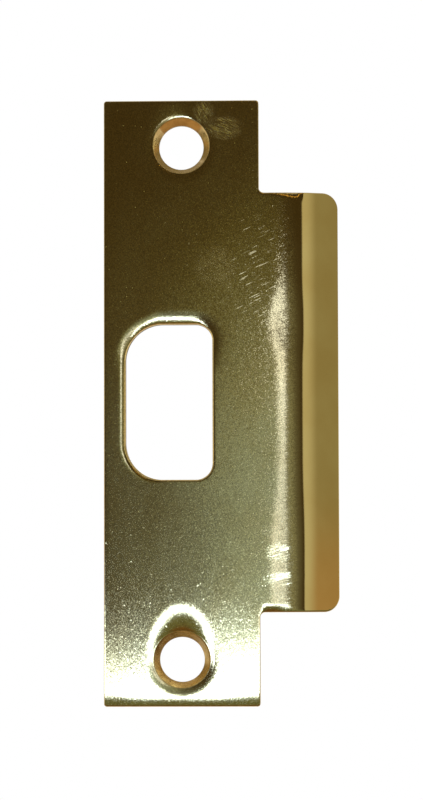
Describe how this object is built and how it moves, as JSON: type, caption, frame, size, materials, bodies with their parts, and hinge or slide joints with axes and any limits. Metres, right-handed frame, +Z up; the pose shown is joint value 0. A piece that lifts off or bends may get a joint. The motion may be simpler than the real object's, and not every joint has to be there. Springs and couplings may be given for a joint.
{
  "type": "door strike plate",
  "caption": "Flat polished brass strike plate with a lip that curves back, a rounded latch opening and countersunk screw holes, for a door frame.",
  "frame": {"origin": "on the back face, midway between the two screw holes", "axes": "+Z up along the plate, +X toward the lip, +Y into the door frame, so that the polished face looks along -Y"},
  "size_m": [0.0479, 0.005, 0.1238],
  "materials": {
    "polished_brass": "buffed bright, with handling scratches and dull smears"
  },
  "bodies": {
    "root": {"strike_plate": "polished_brass"}
  },
  "joints": []
}
